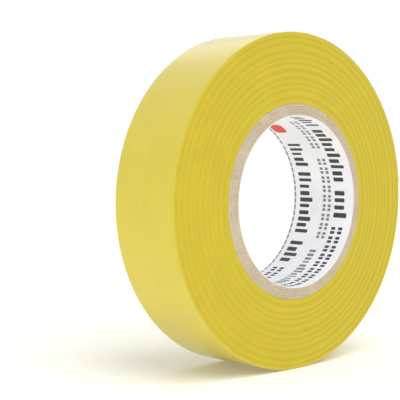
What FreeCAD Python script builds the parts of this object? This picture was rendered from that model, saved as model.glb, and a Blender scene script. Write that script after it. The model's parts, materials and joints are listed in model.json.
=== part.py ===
import FreeCAD, Part
import math
import os
import Sketcher

# A roll of vinyl electrical tape on a spiral-wound board core.
#
# Frame: the origin is the centre of the bore, the roll's axis is Y and +Z is up, so the
# roll stands on its rim. Seen from -Y, with +X to the right, the tape runs clockwise as it
# climbs from the core to the outside, and angles are counted anticlockwise from +X.
#
# The knife that slits a log of tape into rolls turns the core's edge out a little on the
# side that it leaves. So at the front the core stands proud of the tape: most at the bore,
# and less with each ply. The tape itself is flat on both sides.
#
# The tape lies on a two-centre spiral: half-turns above the X axis are arcs about
# (+pitch/4, 0), and half-turns below it are arcs about (-pitch/4, 0), each half-turn half a
# pitch larger than the one before, so neighbouring arcs meet end to end without a kink.
# Almost all the turns are stuck into one block, wound_tape. The last turns are a real film
# and a real adhesive layer, and the free end is cut into short lengths that can be peeled.

# Driving dimensions, in millimetres and degrees: alias, value, meaning.
SIZES = [
    ("tape_width", 18.0, "width of the tape"),
    ("lip", 0.5, "how far the bore's edge stands proud of the tape at the front"),
    ("bore_dia", 38.1, "bore of the finished core"),
    ("liner_thick", 0.15, "printed paper that lines the bore"),
    ("ply_thick", 0.6, "one ply of core board"),
    ("ply_count", 4, "plies of core board"),
    ("wrap_thick", 0.15, "smooth paper round the board"),
    ("seam_gap", 0.4, "gap between the edges of a spiral ply, along the axis"),
    ("seam_pitch", 84.0, "advance of a ply's seam in one turn"),
    ("seam_stagger", 97.0, "angle from one ply's seam to the next one's"),
    ("film_thick", 0.12, "vinyl backing"),
    ("adhesive_thick", 0.025, "adhesive on the inner face of the backing"),
    ("wound_turns", 107, "turns of tape from the core to the peel line"),
    ("outer_turns", 2, "last turns, modelled as a separate film and adhesive"),
    ("peel_line", 80.0, "angle where the free end leaves the roll"),
    ("tail_pieces", 6, "lengths that the free end bends between"),
    ("tail_step", 12.5, "angle that one length of the free end covers"),
    ("lift", 0.05, "gap under the free end and between its lengths"),
    ("overcut", 0.2, "how far a seam's cutter reaches past the ply that it cuts"),
]

doc = FreeCAD.newDocument("tape_roll")
sheet = doc.addObject("Spreadsheet::Sheet", "Sizes")
for row, (alias, value, meaning) in enumerate(SIZES, start=1):
    sheet.set(f"A{row}", alias)
    sheet.set(f"B{row}", str(value))
    sheet.set(f"C{row}", meaning)
    sheet.setAlias(f"B{row}", alias)
doc.recompute()

PLY_COUNT = int(sheet.ply_count)
OUTER_TURNS = int(sheet.outer_turns)
TAIL_PIECES = int(sheet.tail_pieces)

# Expressions on the sheet that several parts share.
LINER_OUTER = "(Sizes.bore_dia / 2 + Sizes.liner_thick)"
BOARD_OUTER = f"({LINER_OUTER} + Sizes.ply_count * Sizes.ply_thick)"
CORE_OUTER = f"({BOARD_OUTER} + Sizes.wrap_thick)"
PITCH = "(Sizes.film_thick + Sizes.adhesive_thick)"
LAST_HALF_TURN = "(2 * Sizes.wound_turns)"
FIRST_LOOSE_HALF_TURN = f"({LAST_HALF_TURN} - 2 * Sizes.outer_turns)"

X_AXIS = -1
ORIGIN = (-1, 1)
ARC_START = 1
ARC_END = 2
CENTRE = 3
UPWARD = FreeCAD.Vector(0, 0, 1)


def turn_radius(half_turn, depth="0"):
    """Radius of a half-turn's inner face, plus a depth into the tape's thickness."""
    return f"({CORE_OUTER} + {PITCH} / 4 * (1 + 2 * {half_turn}) + {depth})"


def value_of(expression):
    """Present value of an expression on the sheet, to draw a sketch near its solution."""
    return float(sheet.evalExpression(expression))


def new_body(label):
    body = doc.addObject("PartDesign::Body", label)
    body.Label = label
    return body


def new_sketch(body, name, plane_role):
    plane = next(p for p in body.Origin.OriginFeatures if p.Role == plane_role)
    sketch = body.newObject("Sketcher::SketchObject", name)
    sketch.AttachmentSupport = [(plane, "")]
    sketch.MapMode = "FlatFace"
    return sketch


def bind(sketch, constraint, name, expression):
    """Adds a dimension to a sketch and ties it to the sheet."""
    index = sketch.addConstraint(constraint)
    sketch.renameConstraint(index, name)
    sketch.setExpression(f"Constraints.{name}", expression)


def pad_width(body, sketch, length="Sizes.tape_width"):
    """Extrudes a profile along Y, half to each side of its sketch."""
    pad = body.newObject("PartDesign::Pad", f"{body.Label}_pad")
    pad.Profile = sketch
    pad.SideType = "Symmetric"
    pad.setExpression("Length", length)
    sketch.Visibility = False
    return pad


def add_arc(sketch, radius, start_deg, end_deg, centre_x=0.0):
    circle = Part.Circle(FreeCAD.Vector(centre_x, 0, 0), UPWARD, radius)
    arc = Part.ArcOfCircle(circle, math.radians(start_deg), math.radians(end_deg))
    return sketch.addGeometry(arc, False)


def add_line(sketch, first, second, construction=False):
    """Adds a line between two (geometry, point) ends, coincident with both."""
    line = Part.LineSegment(sketch.getPoint(*first), sketch.getPoint(*second))
    index = sketch.addGeometry(line, construction)
    sketch.addConstraint(Sketcher.Constraint("Coincident", index, ARC_START, *first))
    sketch.addConstraint(Sketcher.Constraint("Coincident", index, ARC_END, *second))
    return index


# ---------------------------------------------------------------------------------------
# Core: tubes of paper and board
# ---------------------------------------------------------------------------------------

def ring(label, inner, outer, proud):
    """A tube between two radii, flush at the back and standing proud at the front."""
    body = new_body(label)
    sketch = new_sketch(body, f"{label}_profile", "XZ_Plane")
    for name, expression in (("inner", inner), ("outer", outer)):
        circle = Part.Circle(FreeCAD.Vector(0, 0, 0), UPWARD, value_of(expression))
        index = sketch.addGeometry(circle, False)
        sketch.addConstraint(Sketcher.Constraint("Coincident", index, CENTRE, *ORIGIN))
        radius = Sketcher.Constraint("Radius", index, value_of(expression))
        bind(sketch, radius, name, expression)
    pad_width(body, sketch, f"Sizes.tape_width + {proud}")
    body.setExpression("Placement.Base.y", f"-({proud}) / 2")
    return body


def cut_seam(body, inner, outer, proud):
    """Cuts the slanting gap where the two edges of a spiral-wound ply meet."""
    start = f"(Sizes.tape_width + {proud}) / 2 + Sizes.overcut + Sizes.seam_gap"
    low_x = value_of(inner) - sheet.overcut
    high_x = value_of(outer) + sheet.overcut
    low_y = -value_of(start)
    high_y = low_y + sheet.seam_gap
    corners = [(low_x, low_y), (high_x, low_y), (high_x, high_y), (low_x, high_y)]
    sketch = new_sketch(body, f"{body.Label}_seam_profile", "XY_Plane")
    for (ax, ay), (bx, by) in zip(corners, corners[1:] + corners[:1]):
        edge = Part.LineSegment(FreeCAD.Vector(ax, ay, 0), FreeCAD.Vector(bx, by, 0))
        sketch.addGeometry(edge, False)
    for side in range(4):
        following = (side + 1) % 4
        joined = Sketcher.Constraint("Coincident", side, ARC_END, following, ARC_START)
        sketch.addConstraint(joined)
    for side, direction in ((0, "Horizontal"), (2, "Horizontal"), (1, "Vertical"), (3, "Vertical")):
        sketch.addConstraint(Sketcher.Constraint(direction, side))
    start_x = Sketcher.Constraint("DistanceX", *ORIGIN, 0, ARC_START, low_x)
    bind(sketch, start_x, "start_x", f"{inner} - Sizes.overcut")
    depth = Sketcher.Constraint("DistanceX", 0, ARC_START, 0, ARC_END, high_x - low_x)
    bind(sketch, depth, "depth", f"{outer} - {inner} + 2 * Sizes.overcut")
    gap = Sketcher.Constraint("DistanceY", 1, ARC_START, 1, ARC_END, high_y - low_y)
    bind(sketch, gap, "gap", "Sizes.seam_gap")
    start_y = Sketcher.Constraint("DistanceY", 0, ARC_START, *ORIGIN, -low_y)
    bind(sketch, start_y, "start_y", start)
    axis = next(p for p in body.Origin.OriginFeatures if p.Role == "Y_Axis")
    whole = body.Tip.Shape.Volume
    seam = body.newObject("PartDesign::SubtractiveHelix", f"{body.Label}_seam")
    seam.Profile = sketch
    seam.ReferenceAxis = (axis, [""])
    seam.Mode = "pitch-height-angle"
    seam.setExpression("Pitch", "Sizes.seam_pitch")
    seam.setExpression("Height", f"2 * ({start}) - Sizes.seam_gap")
    sketch.Visibility = False
    doc.recompute()
    removed = whole - seam.Shape.Volume
    print(f"{body.Label}: its seam removes {removed:.2f} mm3")
    if removed <= 0:
        raise RuntimeError(f"{body.Label}: the seam cut nothing")


def build_core():
    ring("print_liner", "Sizes.bore_dia / 2", LINER_OUTER, "Sizes.lip")
    for number in range(1, PLY_COUNT + 1):
        inner = f"({LINER_OUTER} + {number - 1} * Sizes.ply_thick)"
        outer = f"({LINER_OUTER} + {number} * Sizes.ply_thick)"
        proud = f"(Sizes.lip * (1 - {number - 1} / Sizes.ply_count))"
        ply = ring(f"core_ply_{number}", inner, outer, proud)
        doc.recompute()
        cut_seam(ply, inner, outer, proud)
        ply.Placement.Rotation = FreeCAD.Rotation(FreeCAD.Vector(0, 1, 0), 1)
        ply.setExpression("Placement.Rotation.Angle", f"{number} * Sizes.seam_stagger * 1 deg")
    ring("core_wrap", BOARD_OUTER, CORE_OUTER, "0")


# ---------------------------------------------------------------------------------------
# Wound tape: the block of inner turns and the real outer turns
# ---------------------------------------------------------------------------------------

def spiral_guides(sketch):
    """Adds the spiral's two centres and the peel line, as construction geometry."""
    offset = value_of(f"{PITCH} / 4")
    upper = sketch.addGeometry(Part.Point(FreeCAD.Vector(offset, 0, 0)), True)
    lower = sketch.addGeometry(Part.Point(FreeCAD.Vector(-offset, 0, 0)), True)
    for point in (upper, lower):
        sketch.addConstraint(Sketcher.Constraint("PointOnObject", point, 1, X_AXIS))
    to_upper = Sketcher.Constraint("DistanceX", *ORIGIN, upper, 1, offset)
    bind(sketch, to_upper, "to_upper", f"{PITCH} / 4")
    to_lower = Sketcher.Constraint("DistanceX", lower, 1, *ORIGIN, offset)
    bind(sketch, to_lower, "to_lower", f"{PITCH} / 4")
    reach = value_of(turn_radius(LAST_HALF_TURN))
    angle = math.radians(sheet.peel_line)
    tip = FreeCAD.Vector(offset + reach * math.cos(angle), reach * math.sin(angle), 0)
    peel = sketch.addGeometry(Part.LineSegment(FreeCAD.Vector(offset, 0, 0), tip), True)
    sketch.addConstraint(Sketcher.Constraint("Coincident", peel, ARC_START, upper, 1))
    bind(sketch, Sketcher.Constraint("Distance", peel, reach), "reach", turn_radius(LAST_HALF_TURN))
    bind(sketch, Sketcher.Constraint("Angle", peel, angle), "peel_angle", "Sizes.peel_line * 1 deg")
    return upper, lower, peel


def spiral_run(sketch, guides, turns, name, first_radius):
    """Adds whole turns of the spiral, clockwise from the peel line and back to it.

    Returns the ends of the run. Only the first arc has a radius from the sheet: the
    others follow from their centres and from where the arc before them ends.
    """
    upper, lower, peel = guides
    offset = value_of(f"{PITCH} / 4")
    half_pitch = value_of(f"{PITCH} / 2")
    radius = value_of(first_radius)
    arcs = [add_arc(sketch, radius, 0, sheet.peel_line, offset)]
    for half_turn in range(1, 2 * turns + 1):
        radius += half_pitch
        if half_turn == 2 * turns:
            arcs.append(add_arc(sketch, radius, sheet.peel_line, 180, offset))
        elif half_turn % 2 == 1:
            arcs.append(add_arc(sketch, radius, 180, 360, -offset))
        else:
            arcs.append(add_arc(sketch, radius, 0, 180, offset))
    for number, arc in enumerate(arcs):
        centre = lower if number % 2 == 1 else upper
        sketch.addConstraint(Sketcher.Constraint("Coincident", arc, CENTRE, centre, 1))
        last = number == len(arcs) - 1
        landing = peel if last else X_AXIS
        sketch.addConstraint(Sketcher.Constraint("PointOnObject", arc, ARC_START, landing))
    first = arcs[0]
    sketch.addConstraint(Sketcher.Constraint("PointOnObject", first, ARC_END, peel))
    bind(sketch, Sketcher.Constraint("Radius", first, value_of(first_radius)), name, first_radius)
    for before, after in zip(arcs, arcs[1:]):
        joined = Sketcher.Constraint("Coincident", before, ARC_START, after, ARC_END)
        sketch.addConstraint(joined)
    return (first, ARC_END), (arcs[-1], ARC_START)


def build_block():
    """The inner turns, stuck together into one block with a one-pitch step at its end."""
    body = new_body("wound_tape")
    sketch = new_sketch(body, "wound_tape_profile", "XZ_Plane")
    guides = spiral_guides(sketch)
    ends = spiral_run(sketch, guides, 1, "first_radius", turn_radius(FIRST_LOOSE_HALF_TURN))
    add_line(sketch, *ends)
    hole = Part.Circle(FreeCAD.Vector(0, 0, 0), UPWARD, value_of(CORE_OUTER))
    index = sketch.addGeometry(hole, False)
    sketch.addConstraint(Sketcher.Constraint("Coincident", index, CENTRE, *ORIGIN))
    bind(sketch, Sketcher.Constraint("Radius", index, value_of(CORE_OUTER)), "hole", CORE_OUTER)
    pad_width(body, sketch)


def build_strip(label, inner_face, outer_face):
    """One layer of the real outer turns, between two depths in the tape's thickness."""
    body = new_body(label)
    sketch = new_sketch(body, f"{label}_profile", "XZ_Plane")
    guides = spiral_guides(sketch)
    ends = []
    for name, depth in (("inner", inner_face), ("outer", outer_face)):
        radius = turn_radius(FIRST_LOOSE_HALF_TURN, depth)
        ends.append(spiral_run(sketch, guides, OUTER_TURNS, name, radius))
    (inner_start, inner_finish), (outer_start, outer_finish) = ends
    add_line(sketch, inner_start, outer_start)
    add_line(sketch, inner_finish, outer_finish)
    pad_width(body, sketch)


# ---------------------------------------------------------------------------------------
# Free end: lengths of film and adhesive that peel one after another
# ---------------------------------------------------------------------------------------

def build_tail_length(label, number, inner_face, outer_face):
    """One layer of one length of the free end, drawn about the spiral's upper centre.

    In the sketch the length starts on the X axis, less the gap that lets it turn, and runs
    clockwise. Its body's Placement carries it to its place on the roll.
    """
    body = new_body(label)
    sketch = new_sketch(body, f"{label}_profile", "XZ_Plane")
    inner = turn_radius(LAST_HALF_TURN, f"Sizes.lift + {inner_face}")
    outer = turn_radius(LAST_HALF_TURN, f"Sizes.lift + {outer_face}")
    gap_angle = f"(Sizes.lift / {outer} * 180 / pi)"
    arcs = []
    for name, expression in (("inner", inner), ("outer", outer)):
        radius = value_of(expression)
        arc = add_arc(sketch, radius, -sheet.tail_step, -value_of(gap_angle))
        sketch.addConstraint(Sketcher.Constraint("Coincident", arc, CENTRE, *ORIGIN))
        bind(sketch, Sketcher.Constraint("Radius", arc, radius), name, expression)
        arcs.append(arc)
    for name, end, expression in (
        ("near_angle", ARC_END, gap_angle),
        ("far_angle", ARC_START, "Sizes.tail_step"),
    ):
        line = add_line(sketch, (arcs[0], end), (arcs[1], end))
        sketch.addConstraint(Sketcher.Constraint("PointOnObject", *ORIGIN, line))
        angle = Sketcher.Constraint("Angle", line, -math.radians(value_of(expression)))
        bind(sketch, angle, name, f"-({expression}) * 1 deg")
    pad_width(body, sketch)
    start = f"Sizes.peel_line - {number - 1} * Sizes.tail_step"
    body.Placement.Rotation = FreeCAD.Rotation(FreeCAD.Vector(0, -1, 0), 1)
    body.setExpression("Placement.Base.x", f"{PITCH} / 4")
    body.setExpression("Placement.Rotation.Angle", f"({start}) * 1 deg")


def build_tape():
    adhesive = ("0", "Sizes.adhesive_thick")
    film = ("Sizes.adhesive_thick", PITCH)
    build_block()
    build_strip("tape_adhesive_outer", *adhesive)
    build_strip("tape_film_outer", *film)
    for number in range(1, TAIL_PIECES + 1):
        build_tail_length(f"tail_adhesive_{number}", number, *adhesive)
        build_tail_length(f"tail_film_{number}", number, *film)


def print_joints():
    """Prints where each length of the free end turns: on the outer face of the film."""
    radius = value_of(turn_radius(LAST_HALF_TURN, f"Sizes.lift + {PITCH}"))
    centre_x = value_of(f"{PITCH} / 4")
    for number in range(1, TAIL_PIECES + 1):
        angle = math.radians(sheet.peel_line - (number - 1) * sheet.tail_step)
        x = centre_x + radius * math.cos(angle)
        z = radius * math.sin(angle)
        print(f"hinge of tail {number}: x {x:.4f}, z {z:.4f} mm")


def write_parts():
    """Checks every object and writes each sub-part to its own file."""
    doc.recompute()
    for item in doc.Objects:
        if "Invalid" in item.State or "Error" in item.State:
            raise RuntimeError(f"{item.Label}: {item.State}")
    os.makedirs("parts", exist_ok=True)
    for body in doc.findObjects("PartDesign::Body"):
        shape = body.Shape
        if shape.isNull() or not shape.isValid() or len(shape.Solids) != 1:
            raise RuntimeError(f"{body.Label}: its shape is not one valid solid")
        shape.exportStep(os.path.join("parts", f"{body.Label}.step"))
        box = shape.BoundBox
        print(f"{body.Label}: {shape.Volume:.2f} mm3, {box.XLength:.3f} x "
              f"{box.YLength:.3f} x {box.ZLength:.3f} mm")


build_core()
build_tape()
print_joints()
write_parts()
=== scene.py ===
"""A roll of yellow vinyl electrical tape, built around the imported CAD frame.

The roll's axis is Y and it stands on its rim. Lengths of the roll are in millimetres and
angles in degrees, anticlockwise from +X as seen from -Y. Meshes are written in metres, and the
stage, lights and camera are in metres too. "Travel" is the angle that the tape has run
clockwise since its outer turns began.
"""

import json
import math
import random

import bpy
import numpy as np
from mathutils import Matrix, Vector


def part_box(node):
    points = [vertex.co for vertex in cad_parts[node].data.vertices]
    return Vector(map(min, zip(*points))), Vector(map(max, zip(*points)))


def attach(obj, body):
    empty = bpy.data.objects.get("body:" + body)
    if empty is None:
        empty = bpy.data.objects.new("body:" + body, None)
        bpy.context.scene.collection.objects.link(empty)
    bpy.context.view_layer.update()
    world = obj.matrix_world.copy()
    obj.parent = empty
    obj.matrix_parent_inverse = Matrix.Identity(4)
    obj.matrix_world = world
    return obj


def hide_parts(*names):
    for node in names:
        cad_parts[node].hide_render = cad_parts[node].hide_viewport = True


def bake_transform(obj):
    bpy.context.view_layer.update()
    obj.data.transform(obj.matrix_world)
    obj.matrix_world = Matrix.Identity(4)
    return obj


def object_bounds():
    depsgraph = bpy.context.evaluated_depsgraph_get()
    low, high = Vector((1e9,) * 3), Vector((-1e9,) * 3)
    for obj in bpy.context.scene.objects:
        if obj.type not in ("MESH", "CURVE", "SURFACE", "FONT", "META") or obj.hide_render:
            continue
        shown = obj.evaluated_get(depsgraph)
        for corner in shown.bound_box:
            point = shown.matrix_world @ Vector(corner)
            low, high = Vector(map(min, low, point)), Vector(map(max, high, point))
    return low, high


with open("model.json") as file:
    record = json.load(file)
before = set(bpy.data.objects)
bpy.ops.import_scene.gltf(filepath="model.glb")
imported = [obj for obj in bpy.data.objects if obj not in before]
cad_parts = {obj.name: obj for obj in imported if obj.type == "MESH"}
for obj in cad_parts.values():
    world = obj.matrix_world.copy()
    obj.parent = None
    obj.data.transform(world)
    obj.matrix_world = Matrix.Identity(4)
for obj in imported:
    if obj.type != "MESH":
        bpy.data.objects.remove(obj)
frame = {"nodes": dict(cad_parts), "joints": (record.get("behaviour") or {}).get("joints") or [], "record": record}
cad_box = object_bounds()

MM = 0.001
HALF_TURN = 180.0

# ---------------------------------------------------------------------------------------
# Sizes, from the frame where it holds them
# ---------------------------------------------------------------------------------------

record = frame["record"]
bore = next(m for m in record["mounts"] if m["name"] == "core_bore")
R_BORE = bore["dims"]["r_mm"]
HALF_WIDTH = bore["dims"]["length_mm"] / 2
LIP = -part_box("print_liner")[0].y / MM - HALF_WIDTH  # the bore's edge, proud of the tape
R_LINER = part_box("print_liner")[1].x / MM
R_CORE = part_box("core_wrap")[1].x / MM
WRAP = 0.15  # paper round the core board
R_BOARD = R_CORE - WRAP
PLIES = sum(name.startswith("core_ply_") for name in frame["nodes"])
PLY = (R_BOARD - R_LINER) / PLIES
SEAM_PITCH = 84.0  # advance of a ply's seam along the core in one turn
SEAM_GAP = 0.1  # gap between the edges of a ply, along the core
SEAM_STAGGER = 97.0  # angle from one ply's seam to the next one's
SEAM_LEAD = 0.4  # how far before the core's front edge a seam is at its ply's own angle

FILM = 0.12
GLUE = 0.025
PITCH = FILM + GLUE
TURNS = 107  # from the core to the peel line
OUTER_TURNS = 2  # the last of those turns, shown as real film and adhesive
PEEL_LINE = 80.0  # angle where the free end leaves the roll
TAIL_LENGTHS = sum(name.startswith("tail_film_") for name in frame["nodes"])
TAIL_STEP = 12.5  # angle that one length of the free end covers
TAIL_LIFT = 0.05  # gap under the free end
OUTER_TRAVEL = 360.0 * OUTER_TURNS
TAIL_TRAVEL = OUTER_TRAVEL + TAIL_LENGTHS * TAIL_STEP

CLEAR = 0.005  # keeps pieces that touch from sharing a surface


# ---------------------------------------------------------------------------------------
# Mesh helpers
# ---------------------------------------------------------------------------------------

def polar(radius, angle, y, centre_x=0.0):
    """A point at a radius and angle about the roll's axis, or about an axis beside it."""
    turn = math.radians(angle)
    return (centre_x + radius * math.cos(turn), y, radius * math.sin(turn))


def spiral(travel, depth):
    """Centre offset, radius and angle on the tape's two-centre spiral.

    depth is measured outwards from the tape's inner face.
    """
    half_turns = math.floor((travel + HALF_TURN - PEEL_LINE) / HALF_TURN)
    count = 2 * (TURNS - OUTER_TURNS) + half_turns
    side = 1.0 if half_turns % 2 == 0 else -1.0
    radius = R_CORE + PITCH / 4 * (1 + 2 * count) + depth
    return side * PITCH / 4, radius, PEEL_LINE - travel


def rounded_outline(width, height, radius, across=1):
    """A closed outline centred on the origin, with rounded corners.

    across is the number of stretches that each long side, along the width, is cut into.
    """
    steps = 3  # stretches to a rounded corner
    points = []
    corners = ((1, -1, -90), (1, 1, 0), (-1, 1, 90), (-1, -1, 180))
    for side_x, side_y, start in corners:
        cx = side_x * (width / 2 - radius)
        cy = side_y * (height / 2 - radius)
        for step in range(steps + 1):
            turn = math.radians(start + 90.0 * step / steps)
            points.append((cx + radius * math.cos(turn), cy + radius * math.sin(turn)))
        if start in (0, 180):
            run = -side_x * (width - 2 * radius)
            x, y = points[-1]
            for stretch in range(1, across):
                points.append((x + run * stretch / across, y))
    return points


def new_piece(name, vertices, faces, material, sharp=40.0):
    """A closed, smooth-shaded object from points in millimetres, facing outwards.

    Edges that turn by more than the angle sharp stay sharp.
    """
    mesh = bpy.data.meshes.new(name)
    mesh.from_pydata([tuple(MM * c for c in v) for v in vertices], [], faces)
    mesh.validate()
    face_outwards(mesh)
    mesh.shade_smooth()
    mesh.set_sharp_from_angle(angle=math.radians(sharp))
    mesh.materials.append(material)
    piece = bpy.data.objects.new(name, mesh)
    bpy.context.scene.collection.objects.link(piece)
    return piece


def ring_quads(count, rings, closed):
    """Quads between neighbouring rings of count vertices, and from last to first if closed."""
    faces = []
    for ring in range(rings if closed else rings - 1):
        here = ring * count
        after = (ring + 1) % rings * count
        for i in range(count):
            j = (i + 1) % count
            faces.append((here + i, after + i, after + j, here + j))
    return faces


def sweep(name, outline, stations, place, material, closed=False):
    """Carries a closed outline through stations and joins the rings with quads.

    place(a, b, station) gives a point for each outline point (a, b). An open sweep gets a
    cap at each end.
    """
    count = len(outline)
    rings = len(stations)
    vertices = [place(a, b, s) for s in stations for a, b in outline]
    faces = ring_quads(count, rings, closed)
    if not closed:
        faces.append(tuple(range(count)))
        faces.append(tuple(reversed(range((rings - 1) * count, rings * count))))
    return new_piece(name, vertices, faces, material)


def face_outwards(mesh):
    """Turns a closed mesh's faces over if its volume comes out negative."""
    mesh.calc_loop_triangles()
    points = np.zeros(len(mesh.vertices) * 3)
    mesh.vertices.foreach_get("co", points)
    points = points.reshape(-1, 3)
    corners = np.zeros(len(mesh.loop_triangles) * 3, int)
    mesh.loop_triangles.foreach_get("vertices", corners)
    a, b, c = (points[corners[k::3]] for k in range(3))
    volume = np.einsum("ij,ij->i", a, np.cross(b, c)).sum()
    if volume < 0:
        mesh.flip_normals()


def evenly(start, stop, steps):
    """Numbers from start to stop, both included, with equal steps between them."""
    return [start + (stop - start) * i / steps for i in range(steps + 1)]


def finish_piece(piece, body, slot, *nodes):
    """Hangs a piece on a body, in place of CAD nodes. slot is not used."""
    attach(piece, body)
    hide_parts(*nodes)


# ---------------------------------------------------------------------------------------
# Materials
# ---------------------------------------------------------------------------------------

def srgb(red, green, blue):
    """A linear colour from the 0 to 255 values of a screen."""
    def linear(value):
        value /= 255.0
        return value / 12.92 if value <= 0.04045 else ((value + 0.055) / 1.055) ** 2.4
    return (linear(red), linear(green), linear(blue), 1.0)


class Nodes:
    """A material's node tree, with short calls to add nodes and join them."""

    def __init__(self, name, roughness, specular=0.5):
        self.material = bpy.data.materials.new(name)
        self.material.use_nodes = True
        self.tree = self.material.node_tree
        self.shader = self.tree.nodes["Principled BSDF"]
        self.shader.inputs["Roughness"].default_value = roughness
        self.shader.inputs["Specular IOR Level"].default_value = specular

    def add(self, kind, **settings):
        """A new node, with its settings given by name."""
        node = self.tree.nodes.new(kind)
        for key, value in settings.items():
            setattr(node, key, value)
        return node

    def join(self, source, target):
        self.tree.links.new(source, target)

    def value(self, operation, first, second=None):
        """A Math node. Each operand is a socket or a number."""
        node = self.add("ShaderNodeMath", operation=operation)
        for socket, operand in zip(node.inputs, (first, second)):
            if operand is None:
                continue
            if isinstance(operand, (int, float)):
                socket.default_value = operand
            else:
                self.join(operand, socket)
        return node.outputs[0]

    def weigh(self, first, second, share):
        """Adds two factors: the first by its share, and the second by the rest."""
        rest = self.value("MULTIPLY", second, 1 - share)
        return self.value("ADD", self.value("MULTIPLY", first, share), rest)

    def position(self):
        """The point on the piece in metres, in the row frame at rest."""
        return self.add("ShaderNodeTexCoord").outputs["Object"]

    def split(self, vector):
        """The X, Y and Z sockets of a vector."""
        node = self.add("ShaderNodeSeparateXYZ")
        self.join(vector, node.inputs[0])
        return node.outputs["X"], node.outputs["Y"], node.outputs["Z"]

    def stretched(self, vector, scale):
        """A point with each axis scaled, so that noise on it is squeezed along that axis."""
        node = self.add("ShaderNodeMapping")
        node.inputs["Scale"].default_value = scale
        self.join(vector, node.inputs["Vector"])
        return node.outputs["Vector"]

    def noise(self, vector, scale, detail=3.0, roughness=0.5):
        """Noise in space. A scale of 1000 gives features about a millimetre across."""
        node = self.add("ShaderNodeTexNoise")
        node.inputs["Scale"].default_value = scale
        node.inputs["Detail"].default_value = detail
        node.inputs["Roughness"].default_value = roughness
        self.join(vector, node.inputs["Vector"])
        return node.outputs["Fac"]

    def line_noise(self, along, scale, detail=2.0):
        """Noise along one number, for rings and bands."""
        node = self.add("ShaderNodeTexNoise", noise_dimensions="1D")
        node.inputs["Scale"].default_value = scale
        node.inputs["Detail"].default_value = detail
        self.join(along, node.inputs["W"])
        return node.outputs["Fac"]

    def ramp(self, factor, *stops):
        """A colour ramp from (place, colour) stops."""
        node = self.add("ShaderNodeValToRGB")
        elements = node.color_ramp.elements
        while len(elements) < len(stops):
            elements.new(0.5)
        for element, (place, colour) in zip(elements, stops):
            element.position = place
            element.color = colour
        self.join(factor, node.inputs["Fac"])
        return node.outputs["Color"]

    def mix(self, factor, first, second):
        """Mixes two colours, each a socket or a colour's four numbers, by a factor's socket."""
        node = self.add("ShaderNodeMix", data_type="RGBA")
        self.join(factor, node.inputs["Factor"])
        # A Mix node has an A, a B and a Result for each data type, and these are the colour's.
        colour_a, colour_b, colour_result = node.inputs[6], node.inputs[7], node.outputs[2]
        for socket, colour in ((colour_a, first), (colour_b, second)):
            if isinstance(colour, tuple):
                socket.default_value = colour
            else:
                self.join(colour, socket)
        return colour_result

    def colour(self, socket):
        """Drives the surface's colour."""
        self.join(socket, self.shader.inputs["Base Color"])

    def rough(self, factor, low, high):
        """Drives the roughness between two values by a factor from 0 to 1."""
        node = self.add("ShaderNodeMapRange")
        node.inputs["To Min"].default_value = low
        node.inputs["To Max"].default_value = high
        self.join(factor, node.inputs["Value"])
        self.join(node.outputs["Result"], self.shader.inputs["Roughness"])

    def bump(self, *layers):
        """Stacks (height socket, distance in millimetres) layers of bump."""
        normal = None
        for height, distance in layers:
            node = self.add("ShaderNodeBump")
            node.inputs["Distance"].default_value = distance * MM
            self.join(height, node.inputs["Height"])
            if normal is not None:
                self.join(normal, node.inputs["Normal"])
            normal = node.outputs["Normal"]
        self.join(normal, self.shader.inputs["Normal"])


# Turns lie in bundles, each wound a little wider or narrower than the next, so the roll's
# sides show rings. The relief and the tone of the rings both follow this phase; the tone is partly painted shade
# in the grooves.
BUNDLE = 1.45  # thickness of a bundle
BUNDLE_DRIFT = 0.15  # how far a groove strays from even spacing, in bundles
BUNDLE_DRIFT_LENGTH = 0.83  # radius over which that wanders by one radian
BUNDLE_SWAY = 0.05  # how far a groove is off the roll's centre, in bundles


def ring_phase(radius, angle):
    """Bundles counted outwards from the core, in mm and degrees."""
    count = (radius - R_CORE) / BUNDLE
    drift = BUNDLE_DRIFT * math.sin(radius / BUNDLE_DRIFT_LENGTH)
    return count + drift + BUNDLE_SWAY * math.sin(math.radians(angle))


def ring_phase_nodes(n, z, radius):
    """The same phase as a socket, from sockets in metres."""
    millimetres = n.value("MULTIPLY", radius, 1 / MM)
    count = n.value("DIVIDE", n.value("SUBTRACT", millimetres, R_CORE), BUNDLE)
    wave = n.value("SINE", n.value("DIVIDE", millimetres, BUNDLE_DRIFT_LENGTH))
    sway = n.value("MULTIPLY", n.value("DIVIDE", z, radius), BUNDLE_SWAY)
    drift = n.value("ADD", n.value("MULTIPLY", wave, BUNDLE_DRIFT), sway)
    return n.value("ADD", count, drift)


VINYL = srgb(211, 193, 26)
VINYL_PALE = srgb(215, 198, 44)
VINYL_DEEP = srgb(206, 187, 16)
VINYL_EDGE = srgb(200, 180, 29)
EDGE_PALE = srgb(209, 189, 41)
EDGE_DEEP = srgb(192, 171, 23)
# EDGE_GROOVE is partly painted shade in the grooves between bundles; it also colours the faint line to each turn.
EDGE_GROOVE = srgb(186, 164, 19)


def vinyl_face():
    """The smooth outer face of the film: calendered vinyl with faint lengthwise streaks."""
    n = Nodes("vinyl_film", roughness=0.3)
    n.shader.inputs["Coat Weight"].default_value = 0.7
    n.shader.inputs["Coat Roughness"].default_value = 0.18
    point = n.position()
    across = n.split(point)[1]
    streaks = n.line_noise(across, 1400.0, detail=4.0)
    cloud = n.noise(point, 90.0)
    grain = n.noise(point, 5200.0, detail=2.0)
    tone = n.weigh(streaks, cloud, 0.45)
    n.colour(n.ramp(tone, (0.3, VINYL_DEEP), (0.52, VINYL), (0.75, VINYL_PALE)))
    n.rough(cloud, 0.28, 0.42)
    n.bump((streaks, 0.03), (grain, 0.008))
    return n.material


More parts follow.
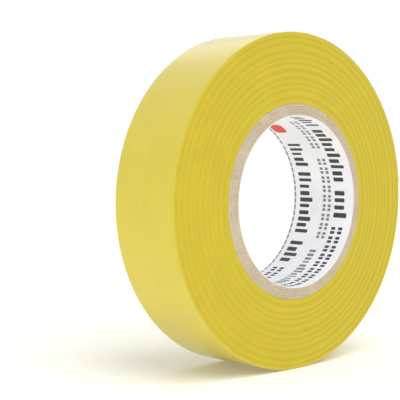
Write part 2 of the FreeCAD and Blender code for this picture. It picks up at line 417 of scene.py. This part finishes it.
def vinyl_edges():
    """The side of the roll: the slit edges of the turns, in rings with a finer line to a turn."""
    n = Nodes("wound_vinyl", roughness=0.42, specular=0.35)
    point = n.position()
    x, _, z = n.split(point)
    square = n.value("ADD", n.value("MULTIPLY", x, x), n.value("MULTIPLY", z, z))
    radius = n.value("SQRT", square)
    cloud = n.noise(point, 140.0, detail=4.0)
    grain = n.noise(point, 6000.0, detail=2.0)

    # One faint line to a turn, a fifth of it wide, which spirals with the tape.
    turns = n.value("DIVIDE", n.value("SUBTRACT", radius, R_CORE * MM), PITCH * MM)
    round_trip = n.value("DIVIDE", n.value("ARCTAN2", z, x), 2 * math.pi)
    place = n.value("FRACT", n.value("ADD", turns, round_trip))
    groove = n.value("ABSOLUTE", n.value("SUBTRACT", place, 0.5))
    line = n.value("MULTIPLY", n.value("GREATER_THAN", groove, 0.4), 0.12)
    fine = n.line_noise(turns, 0.55)
    tone = n.weigh(fine, cloud, 0.6)
    face = n.ramp(tone, (0.3, EDGE_DEEP), (0.5, VINYL_EDGE), (0.7, EDGE_PALE))

    # One ring to a bundle, its tone partly the turns' own and partly painted shade in the grooves between bundles.
    # The rings are painted a little stronger towards +X, as painted shade of their relief under the light.
    share = n.value("FRACT", ring_phase_nodes(n, z, radius))
    rings = n.ramp(
        share, (0.0, EDGE_GROOVE), (0.3, VINYL_EDGE), (0.6, EDGE_PALE), (0.8, VINYL_EDGE),
        (1.0, EDGE_GROOVE)
    )
    shade_side = n.value("DIVIDE", x, radius)
    strength = n.value("ADD", n.value("MULTIPLY", shade_side, 0.2), 0.45)

    n.colour(n.mix(line, n.mix(strength, face, rings), EDGE_GROOVE))
    n.rough(cloud, 0.36, 0.5)
    n.bump((fine, 0.03), (groove, 0.01), (grain, 0.01))
    return n.material


def adhesive_layer():
    """Tacky adhesive: a little darker and duller than the film, with a mottled face."""
    n = Nodes("adhesive", roughness=0.55)
    point = n.position()
    mottle = n.noise(point, 900.0, detail=5.0)
    n.colour(n.ramp(mottle, (0.3, srgb(203, 178, 52)), (0.7, srgb(214, 191, 70))))
    n.rough(mottle, 0.35, 0.5)
    n.bump((mottle, 0.01))
    return n.material


def board(name, dark, light, fibre_scale):
    """Grey-beige core board or paper: fibres that lie round the core, fuzzy where it is cut."""
    n = Nodes(name, roughness=0.9, specular=0.2)
    point = n.position()
    fibre = n.noise(n.stretched(point, (1.0, 3.0, 1.0)), fibre_scale, detail=6.0, roughness=0.65)
    blotch = n.noise(point, 260.0)
    tone = n.weigh(fibre, blotch, 0.6)
    n.colour(n.ramp(tone, (0.32, dark), (0.68, light)))
    n.bump((fibre, 0.12))
    return n.material


def liner_paper():
    """White coated paper, a little glossy."""
    n = Nodes("liner_paper", roughness=0.5)
    point = n.position()
    cloud = n.noise(point, 120.0, detail=4.0)
    fibre = n.noise(point, 2500.0, detail=4.0)
    n.colour(n.ramp(cloud, (0.3, srgb(237, 239, 243)), (0.7, srgb(247, 249, 252))))
    n.rough(fibre, 0.42, 0.6)
    n.bump((fibre, 0.01))
    return n.material


def ink(name, dark, light):
    """Printing ink that lets a little of the paper through."""
    n = Nodes(name, roughness=0.5)
    speckle = n.noise(n.position(), 3000.0)
    n.colour(n.ramp(speckle, (0.35, dark), (0.8, light)))
    n.rough(speckle, 0.4, 0.6)
    return n.material


FACE = vinyl_face()
EDGES = vinyl_edges()
ADHESIVE = adhesive_layer()
BOARD = board("core_board", srgb(184, 168, 143), srgb(213, 200, 177), fibre_scale=1500.0)
WRAP_PAPER = board("core_paper", srgb(194, 180, 157), srgb(220, 208, 189), fibre_scale=2200.0)
PAPER = liner_paper()
BLACK_INK = ink("ink_black", srgb(40, 40, 46), srgb(74, 74, 80))
GREY_INK = ink("ink_grey", srgb(118, 118, 122), srgb(150, 150, 154))
RED_INK = ink("ink_red", srgb(214, 58, 48), srgb(230, 84, 70))


# ---------------------------------------------------------------------------------------
# Core
# ---------------------------------------------------------------------------------------

def proud(radius):
    """How far the core's front edge stands out of the tape: most at the bore."""
    return LIP * min(1.0, max(0.0, (R_BOARD - radius) / (R_BOARD - R_LINER)))


def along_core(a, radius):
    """Stretches the front half of a length, so that the front edge stands proud."""
    return a * (1 + proud(radius) / HALF_WIDTH) if a < 0 else a


def tube(name, inner, outer, material):
    """A closed tube almost as long as the core at its radius, with softened rims."""
    soften = 0.04
    set_back = 0.02
    wall = outer - inner
    middle = (inner + outer) / 2
    outline = rounded_outline(2 * (HALF_WIDTH - set_back), wall, min(soften, wall * 0.45))
    angles = evenly(0.0, 360.0, 256)[:-1]

    def place(a, b, angle):
        return polar(middle + b, angle, along_core(a, middle))

    return sweep(name, outline, angles, place, material, closed=True)


def spiral_ply(number, material):
    """One ply of board, open along its slanting seam, with a slightly uneven cut rim."""
    inner = R_LINER + (number - 1) * PLY
    middle = inner + PLY / 2
    chance = random.Random(number)
    set_back = chance.uniform(0.03, 0.06)
    waves = [(count, chance.uniform(0, 2 * math.pi)) for count in (3, 7, 11, 19)]
    ripple = 0.007
    soften = 0.06
    outline = rounded_outline(2 * (HALF_WIDTH - set_back), PLY - 4 * CLEAR, soften, across=24)
    advance = 360.0 / SEAM_PITCH  # turn of the seam for each millimetre along the core
    gap = SEAM_GAP * advance
    first = -number * SEAM_STAGGER - (HALF_WIDTH + proud(inner) + SEAM_LEAD) * advance

    def place(a, b, angle):
        radius = middle + b
        y = along_core(a, radius)
        turned = first + angle - y * advance
        turn = math.radians(turned)
        wave = sum(math.sin(count * turn + phase) for count, phase in waves)
        return polar(radius, turned, y + ripple * wave * a / HALF_WIDTH)

    angles = evenly(gap / 2, 360.0 - gap / 2, 300)
    return sweep(f"core_ply_board_{number}", outline, angles, place, material)


def build_core():
    """The printed liner's paper, the plies of board and the paper round them."""
    liner = tube("liner_tube", R_BORE, R_LINER - CLEAR, PAPER)
    finish_piece(liner, "roll", "liner_paper", "print_liner")
    for number in range(1, PLIES + 1):
        ply = spiral_ply(number, BOARD)
        finish_piece(ply, "roll", "core_board", f"core_ply_{number}")
    wrap = tube("core_wrap_tube", R_BOARD, R_CORE - 2 * CLEAR, WRAP_PAPER)
    finish_piece(wrap, "roll", "core_paper", "core_wrap")


# ---------------------------------------------------------------------------------------
# Print on the liner: plain blocks that stand for rows of print, and a plain red mark
# ---------------------------------------------------------------------------------------

INK_DEPTH = 0.012  # how far the ink reaches to each side of the paper's face
LINE_HEIGHT = 3.9
SMALL_HEIGHT = 2.6
DOTTED_HEIGHT = 0.9 * LINE_HEIGHT
LOW_SHARE = 0.76  # height of the lower blocks in a word, against the taller ones
SECOND_RUN = 225.0  # angle from the start of a bold row to where it starts again
BLOCK_WIDTHS = (0.42, 0.7)  # narrowest and widest block, as shares of the step to the next one
TALL_CHANCE = 0.35  # how often a block is a tall one

# Runs of blocks or cells along a row: angle from the row's start, count, angle to the next one.
BOLD_WORDS = ((23.0, 5, 4.1), (47.0, 10, 4.7), (99.0, 4, 5.2))
BOLD_CELLS = (125.0, 11, 7.2)
SMALL_CELLS = ((0.0, 5, 6.8), (41.0, 9, 6.8))
SMALL_BARS = (110.0, 13, 3.6)
EDGE_DASHES = (0.0, 78, 4.6)


def block(angle, width, low, high, corner=0.25):
    """Vertices and faces of one printed block, curved to the bore and rounded at its corners.

    width is an angle, and the block runs clockwise from the angle given, between the places
    low and high along the roll's axis.
    """
    columns = 8
    kept_open = 0.98  # stops a fully rounded end from closing to a line
    vertices, faces = [], []
    length = math.radians(width) * R_BORE
    corner = min(corner, length / 2, (high - low) / 2)
    for column in range(columns + 1):
        share = 0.5 - 0.5 * math.cos(math.pi * column / columns)
        from_end = min(share, 1 - share) * length
        inset = 0.0
        if from_end < corner:
            inset = kept_open * (corner - math.sqrt(corner**2 - (corner - from_end) ** 2))
        turn = angle - width * share
        for radius in (R_BORE - INK_DEPTH, R_BORE + INK_DEPTH):
            vertices.append(polar(radius, turn, low + inset))
            vertices.append(polar(radius, turn, high - inset))
    for column in range(columns):
        a = 4 * column
        b = a + 4
        faces += [
            (a, b, b + 1, a + 1),
            (a + 2, a + 3, b + 3, b + 2),
            (a, a + 2, b + 2, b),
            (a + 1, b + 1, b + 3, a + 3),
        ]
    last = 4 * columns
    faces += [(0, 1, 3, 2), (last, last + 2, last + 3, last + 1)]
    return vertices, faces


def join_blocks(name, blocks, material):
    """One piece of ink from many blocks."""
    vertices, faces = [], []
    for points, quads in blocks:
        start = len(vertices)
        vertices += points
        faces += [tuple(start + i for i in quad) for quad in quads]
    piece = new_piece(name, vertices, faces, material, sharp=30.0)
    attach(piece, "roll")


def run_places(start, run):
    """The angles of the items in a run."""
    offset, count, advance = run
    return [start - offset - advance * i for i in range(count)]


def word(chance, start, run, foot, height):
    """Blocks of uneven width in place of a word. Its foot is the edge further from the front."""
    advance = run[2]
    blocks = []
    for angle in run_places(start, run):
        width = advance * chance.uniform(*BLOCK_WIDTHS)
        tall = height if chance.random() < TALL_CHANCE else LOW_SHARE * height
        blocks.append(block(angle, width, foot - tall, foot))
    return blocks


def cells(start, run, foot, height):
    """A run of cells, each a square of four dots."""
    dot = 0.3 * run[2]
    column_step = 1.4 * dot
    dot_height = 0.36 * height
    row_step = 0.6 * height
    blocks = []
    for angle in run_places(start, run):
        for column in range(2):
            for row in range(2):
                low = foot - height + row * row_step
                at = angle - column * column_step
                blocks.append(block(at, dot, low, low + dot_height, corner=0.2))
    return blocks


def mark(angle, foot):
    """The plain red mark at the start of a bold row."""
    width = 11.0
    to_front = 3.0
    to_back = 0.85
    return block(angle, width, foot - to_front, foot + to_back, corner=1.1)


def bold_row(seed, start, foot):
    """A mark and three words, twice round the bore, and a run of cells between the two."""
    chance = random.Random(seed)
    black, red = [], []
    for angle in (start, start - SECOND_RUN):
        red.append(mark(angle, foot))
        for run in BOLD_WORDS:
            black += word(chance, angle, run, foot, LINE_HEIGHT)
    black += cells(start, BOLD_CELLS, foot, DOTTED_HEIGHT)
    return black, red


def small_row(seed, start, foot):
    """Two runs of small cells and a run of narrow bars, twice round the bore."""
    chance = random.Random(seed)
    grey = []
    for angle in (start, start - HALF_TURN):
        for run in SMALL_CELLS:
            grey += cells(angle, run, foot, SMALL_HEIGHT)
        grey += word(chance, angle, SMALL_BARS, foot, SMALL_HEIGHT)
    return grey


def edge_row(start, low, high):
    """A thin broken line along the liner's back edge."""
    dash = 4.0
    return [block(angle, dash, low, high) for angle in run_places(start, EDGE_DASHES)]


def build_print():
    """Two bold rows with a small row between them, and the line at the back."""
    near_black, near_red = bold_row(seed=3, start=104.0, foot=-3.9)
    far_black, far_red = bold_row(seed=4, start=65.0, foot=6.9)
    grey = small_row(seed=5, start=70.0, foot=-0.2)
    edge = edge_row(start=40.0, low=8.25, high=8.7)
    join_blocks("liner_print_dark", near_black + far_black, BLACK_INK)
    join_blocks("liner_print_red", near_red + far_red, RED_INK)
    join_blocks("liner_print_grey", grey + edge, GREY_INK)


# ---------------------------------------------------------------------------------------
# Wound tape
# ---------------------------------------------------------------------------------------

RELIEF = 0.1  # how far the grooves between bundles stand back from the widest turns
RELIEF_SWAY = 0.2  # half the share of the relief that is lost from +X round to -X
CROWN_SWAY = 0.22  # share of a bundle's height that comes and goes round the roll
CROWN_STEP = 2.4  # radians from where one bundle is highest to where the next one is
CROWN_SKEW = 1.3  # above 1, a bundle is highest towards its outer edge
SIDE_STEPS = 96  # rings of vertices on each side, dense enough to show each bundle


def side_depth(radius, angle):
    """How far the slit edges stand back from the widest turn.

    Bundles of turns are shallow rounded rings, higher towards their outer edge.
    """
    turn = math.radians(angle)
    bundle, share = divmod(ring_phase(radius, angle), 1.0)
    height = 1.0 - CROWN_SWAY + CROWN_SWAY * math.sin(CROWN_STEP * bundle + turn)
    crown = math.sin(math.pi * share**CROWN_SKEW)
    depth = RELIEF * (1.0 - RELIEF_SWAY + RELIEF_SWAY * math.cos(turn))
    return depth * (1.0 - height * crown)


def build_block():
    """The inner turns, with every bundle of slit edges as relief on both sides.

    The block is one turn swept clockwise from the step where the outer turns begin.
    """
    radii = evenly(R_CORE + 4 * CLEAR, R_CORE + (TURNS - OUTER_TURNS) * PITCH, SIDE_STEPS)
    span = radii[-1] - radii[0]
    soften = 0.05
    outline = [(-1, 0.0, soften)]
    outline += [(-1, (r - radii[0]) / span, 0.0) for r in radii]
    outline += [(-1, 1.0, soften), (1, 1.0, soften)]
    outline += [(1, (r - radii[0]) / span, 0.0) for r in reversed(radii)]
    outline.append((1, 0.0, soften))
    travels = evenly(-360.0, 0.0, 300)
    step = 0.01
    travels[0] += step
    travels[-1] -= step
    vertices = []
    for travel in travels:
        offset, outer, angle = spiral(travel, PITCH)
        turn = math.radians(angle)
        rim = outer + offset * math.cos(turn) - CLEAR
        for side, share, back in outline:
            radius = radii[0] + share * (rim - radii[0])
            y = HALF_WIDTH - side_depth(radius, side * angle) - back
            vertices.append(polar(radius, angle, side * y))
    faces = ring_quads(len(outline), len(travels), closed=True)
    piece = new_piece("wound_tape_turns", vertices, faces, EDGES, sharp=50.0)
    finish_piece(piece, "roll", "wound_vinyl", "wound_tape")


EDGE_DROOP = 0.02  # how far the tape's edges lie below its middle
FACE_WAVE = 0.006  # height of the shallow waves across the tape
EDGE_BACK = 0.014  # how far the tape's edges stand back from its full width
EDGE_WANDER = 0.012  # how far they wander to each side of that
WANDER_COUNT = 1.7  # how often they do so in a turn


def tape_layer(name, inner, outer, travels, material, lift=None):
    """One layer of real tape along the spiral, between two depths of its thickness.

    lift(travel) says how far the tape rises off the turn below it.
    """
    thick = outer - inner
    middle = (inner + outer) / 2
    outline = rounded_outline(2 * HALF_WIDTH, thick, min(0.03, thick * 0.4), across=20)

    def place(a, b, travel):
        offset, radius, angle = spiral(travel, middle + b)
        across = a / HALF_WIDTH
        droop = EDGE_DROOP * across**6 + FACE_WAVE * math.cos(9.0 * across + 0.7)
        back = EDGE_BACK - EDGE_WANDER * math.sin(WANDER_COUNT * math.radians(travel))
        up = lift(travel) if lift else 0.0
        y = a - math.copysign(back, a) * across**4
        return polar(radius - droop + up, angle, y, offset)

    return sweep(name, outline, travels, place, material)


def build_outer_turns():
    """The last turns, each as a layer of adhesive under a layer of film."""
    travels = evenly(0.0, OUTER_TRAVEL, 240 * OUTER_TURNS)
    glue = tape_layer("outer_turns_adhesive", 0.0, GLUE, travels, ADHESIVE)
    finish_piece(glue, "roll", "adhesive", "tape_adhesive_outer")
    film = tape_layer("outer_turns_film", GLUE, PITCH, travels, FACE)
    finish_piece(film, "roll", "vinyl_film", "tape_film_outer")


# ---------------------------------------------------------------------------------------
# Free end
# ---------------------------------------------------------------------------------------


def tail_lift(travel):
    """The free end rises from the roll by its small gap, over its first few millimetres."""
    share = min(1.0, (travel - OUTER_TRAVEL) / (TAIL_STEP / 2))
    return TAIL_LIFT * share * share * (3 - 2 * share)


def tail_span(number):
    """Travel where a piece of the free end starts and stops: from joint to joint, midway."""
    start = OUTER_TRAVEL + (number - 1.5) * TAIL_STEP
    stop = start + TAIL_STEP
    if number == 1:
        start = OUTER_TRAVEL
    if number == TAIL_LENGTHS:
        stop = TAIL_TRAVEL
    return start, stop


def tail_bend(piece, number):
    """Looks up the piece's joint and its hinge, and bakes the piece's transform into its mesh; the piece is not
    bent.
    """
    joint = next(j for j in frame["joints"] if j["child"] == f"tail_{number}")
    hinge = Vector(joint["pos_m"])
    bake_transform(piece)


def build_tail():
    """The free end's lengths of adhesive and film, from the peel line to its cut end."""
    layers = (
        ("adhesive", 0.0, GLUE, ADHESIVE, "adhesive"),
        ("film", GLUE, PITCH, FACE, "vinyl_film"),
    )
    for number in range(1, TAIL_LENGTHS + 1):
        start, stop = tail_span(number)
        travels = evenly(start, stop, 36)
        for layer, inner, outer, material, slot in layers:
            name = f"free_end_{layer}_{number}"
            piece = tape_layer(name, inner, outer, travels, material, tail_lift)
            tail_bend(piece, number)
            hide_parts(f"tail_{layer}_{number}")


# ---------------------------------------------------------------------------------------
# Stage, lights and camera, in metres and watts
# ---------------------------------------------------------------------------------------

# Where the camera stands, seen from the middle of the roll, and the view that it is turned to.
CAMERA_AZIMUTH = -47.13
CAMERA_ELEVATION = 3.06
CAMERA_DISTANCE = 0.2546
AIM_AZIMUTH = -43.645
AIM_ELEVATION = 3.06
CAMERA_LENS = 100.4
SENSOR = 36.0

WHITE = (1.0, 1.0, 1.0)
WARM = (1.0, 0.9, 0.6)
GROUND = cad_box[0].z


def build_stage():
    """A pale matt floor that runs far past the view."""
    reach = 6.0
    grey = 0.54
    mesh = bpy.data.meshes.new("floor")
    corners = [(-reach, -reach), (reach, -reach), (reach, reach), (-reach, reach)]
    mesh.from_pydata([(x, y, GROUND) for x, y in corners], [], [(0, 1, 2, 3)])
    n = Nodes("floor_white", roughness=0.5, specular=0.0)
    n.shader.inputs["Base Color"].default_value = (grey, grey, grey, 1.0)
    mesh.materials.append(n.material)
    floor = bpy.data.objects.new("floor", mesh)
    bpy.context.scene.collection.objects.link(floor)
    return floor


def area_light(name, place, target, size, power):
    """A rectangle of white light that faces its target."""
    light = bpy.data.lights.new(name, "AREA")
    light.shape = "RECTANGLE"
    light.size, light.size_y = size
    light.energy = power
    lamp = bpy.data.objects.new(name, light)
    lamp.location = place
    lamp.rotation_euler = (Vector(target) - Vector(place)).to_track_quat("-Z", "Y").to_euler()
    lamp.visible_camera = False
    bpy.context.scene.collection.objects.link(lamp)


def floor_light(name, floor, strength, colour, casts_shadow):
    """A wide soft light that falls on the floor alone, so that it stays close to white."""
    direction = Vector((0.15, 0.75, -1.0))
    light = bpy.data.lights.new(name, "SUN")
    light.energy = strength
    light.angle = math.radians(50.0)
    light.color = colour
    light.use_shadow = casts_shadow
    lamp = bpy.data.objects.new(name, light)
    lamp.rotation_euler = direction.to_track_quat("-Z", "Y").to_euler()
    bpy.context.scene.collection.objects.link(lamp)
    lit = bpy.data.collections.new(f"{name}_lit")
    lit.objects.link(floor)
    lamp.light_linking.receiver_collection = lit


def build_lights(floor):
    """A white surround, three soft lights on the roll and two on the floor.

    The floor's second light casts no shadow and is warm, so it tints the shadow of the first.
    """
    world = bpy.data.worlds.new("white")
    world.use_nodes = True
    sky = world.node_tree.nodes["Background"]
    sky.inputs["Color"].default_value = (*WHITE, 1.0)
    sky.inputs["Strength"].default_value = 1.0
    bpy.context.scene.world = world
    area_light("top_light", (-0.05, -0.12, 0.6), (0, 0, 0), (0.4, 0.2), 0.3)
    area_light("back_light", (0.35, 0.4, 0.4), (0, 0, 0.03), (0.4, 0.2), 0.09)
    area_light("side_light", (-0.06, -0.1, -0.01), (-0.03, 0, 0), (0.05, 0.05), 0.007)
    floor_light("floor_light", floor, 2.4, WHITE, casts_shadow=True)
    floor_light("floor_fill", floor, 2.0, WARM, casts_shadow=False)


def backwards(azimuth, elevation):
    """The direction from what is looked at to the one who looks. Azimuth 0 looks along +Y."""
    turn, rise = math.radians(azimuth), math.radians(elevation)
    level = math.cos(rise)
    return Vector((math.sin(turn) * level, -math.cos(turn) * level, math.sin(rise)))


def build_camera():
    """A long lens, nearly level with the roll, about midway between its front and its rim."""
    data = bpy.data.cameras.new("camera")
    data.lens = CAMERA_LENS
    data.sensor_width = SENSOR
    data.clip_start = 0.01
    camera = bpy.data.objects.new("camera", data)
    camera.location = backwards(CAMERA_AZIMUTH, CAMERA_ELEVATION) * CAMERA_DISTANCE
    aim = -backwards(AIM_AZIMUTH, AIM_ELEVATION)
    camera.rotation_euler = aim.to_track_quat("-Z", "Y").to_euler()
    bpy.context.scene.collection.objects.link(camera)
    bpy.context.scene.camera = camera


bpy.context.scene.view_settings.view_transform = "Standard"
build_lights(build_stage())
build_camera()
build_core()
build_print()
build_block()
build_outer_turns()
build_tail()
